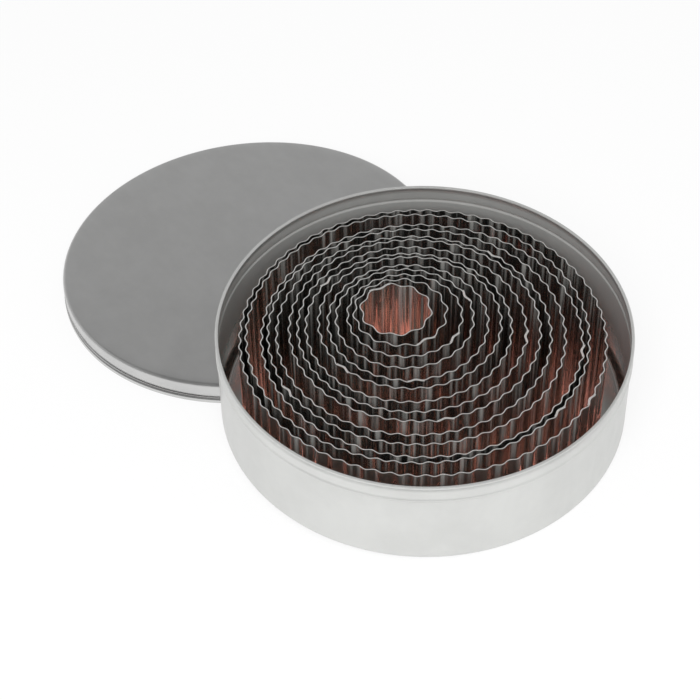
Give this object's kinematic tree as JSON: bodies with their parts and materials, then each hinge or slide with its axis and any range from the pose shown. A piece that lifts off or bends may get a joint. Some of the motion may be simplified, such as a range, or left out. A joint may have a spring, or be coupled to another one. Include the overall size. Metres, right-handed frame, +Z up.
{
  "type": "biscuit cutter set",
  "caption": "Set of round fluted biscuit cutters nested in a shallow round tin that leans on its flat lid.",
  "frame": {"origin": "on the table, under the middle of the pair of tin and lid", "axes": "+Y points from the tin to the lid that it leans on, +Z is up, +X is to the right"},
  "size_m": [0.127, 0.2184, 0.0429],
  "materials": {
    "lid_tinplate": "satin tinplate, softly mottled",
    "tin_tinplate": "bright tinplate, smooth",
    "cutter_strip": "bright cold-rolled tinplate strip with blank cut edges"
  },
  "bodies": {
    "lid": {"lid": "lid_tinplate"},
    "tin": {"tin": "tin_tinplate"},
    "cutter_1": {"cutter_1": "cutter_strip"},
    "cutter_2": {"cutter_2": "cutter_strip"},
    "cutter_3": {"cutter_3": "cutter_strip"},
    "cutter_4": {"cutter_4": "cutter_strip"},
    "cutter_5": {"cutter_5": "cutter_strip"},
    "cutter_6": {"cutter_6": "cutter_strip"},
    "cutter_7": {"cutter_7": "cutter_strip"},
    "cutter_8": {"cutter_8": "cutter_strip"},
    "cutter_9": {"cutter_9": "cutter_strip"},
    "cutter_10": {"cutter_10": "cutter_strip"},
    "cutter_11": {"cutter_11": "cutter_strip"},
    "cutter_12": {"cutter_12": "cutter_strip"},
    "cutter_13": {"cutter_13": "cutter_strip"},
    "cutter_14": {"cutter_14": "cutter_strip"}
  },
  "joints": [
    {"name": "tin_lift", "type": "slide", "parent": "lid", "child": "tin", "axis": [0, 0, 1], "range_m": [0, 0.04]},
    {"name": "cutter_1_lift", "type": "slide", "parent": "tin", "child": "cutter_1", "axis": [0, -0.085, 0.9964], "range_m": [0, 0.04]},
    {"name": "cutter_2_lift", "type": "slide", "parent": "tin", "child": "cutter_2", "axis": [0, -0.085, 0.9964], "range_m": [0, 0.04]},
    {"name": "cutter_3_lift", "type": "slide", "parent": "tin", "child": "cutter_3", "axis": [0, -0.085, 0.9964], "range_m": [0, 0.04]},
    {"name": "cutter_4_lift", "type": "slide", "parent": "tin", "child": "cutter_4", "axis": [0, -0.085, 0.9964], "range_m": [0, 0.04]},
    {"name": "cutter_5_lift", "type": "slide", "parent": "tin", "child": "cutter_5", "axis": [0, -0.085, 0.9964], "range_m": [0, 0.04]},
    {"name": "cutter_6_lift", "type": "slide", "parent": "tin", "child": "cutter_6", "axis": [0, -0.085, 0.9964], "range_m": [0, 0.04]},
    {"name": "cutter_7_lift", "type": "slide", "parent": "tin", "child": "cutter_7", "axis": [0, -0.085, 0.9964], "range_m": [0, 0.04]},
    {"name": "cutter_8_lift", "type": "slide", "parent": "tin", "child": "cutter_8", "axis": [0, -0.085, 0.9964], "range_m": [0, 0.04]},
    {"name": "cutter_9_lift", "type": "slide", "parent": "tin", "child": "cutter_9", "axis": [0, -0.085, 0.9964], "range_m": [0, 0.04]},
    {"name": "cutter_10_lift", "type": "slide", "parent": "tin", "child": "cutter_10", "axis": [0, -0.085, 0.9964], "range_m": [0, 0.04]},
    {"name": "cutter_11_lift", "type": "slide", "parent": "tin", "child": "cutter_11", "axis": [0, -0.085, 0.9964], "range_m": [0, 0.04]},
    {"name": "cutter_12_lift", "type": "slide", "parent": "tin", "child": "cutter_12", "axis": [0, -0.085, 0.9964], "range_m": [0, 0.04]},
    {"name": "cutter_13_lift", "type": "slide", "parent": "tin", "child": "cutter_13", "axis": [0, -0.085, 0.9964], "range_m": [0, 0.04]},
    {"name": "cutter_14_lift", "type": "slide", "parent": "tin", "child": "cutter_14", "axis": [0, -0.085, 0.9964], "range_m": [0, 0.04]}
  ]
}
